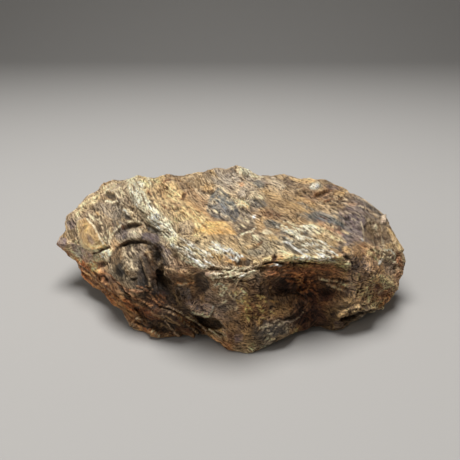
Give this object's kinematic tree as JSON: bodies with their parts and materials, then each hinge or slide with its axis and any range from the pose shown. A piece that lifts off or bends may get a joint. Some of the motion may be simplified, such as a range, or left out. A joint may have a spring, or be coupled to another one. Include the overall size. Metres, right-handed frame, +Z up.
{
  "type": "petrified wood",
  "caption": "Rough block of petrified wood with a broad, rather flat top, a steep broken front with a hollow, a sloping knotty left end and a rounded right end.",
  "frame": {"origin": "bottom centre of the block's box, on the plane it rests on", "axes": "+X along the block's length, towards its rounded right end; -Y towards the steep broken front; +Z up, out of the flat top"},
  "size_m": [0.2576, 0.166, 0.0807],
  "materials": {
    "petrified_wood": "rough, fibrous silicified wood in ochre, cream, rust brown and grey blue"
  },
  "bodies": {
    "root": {"petrified_wood": "petrified_wood"}
  },
  "joints": []
}
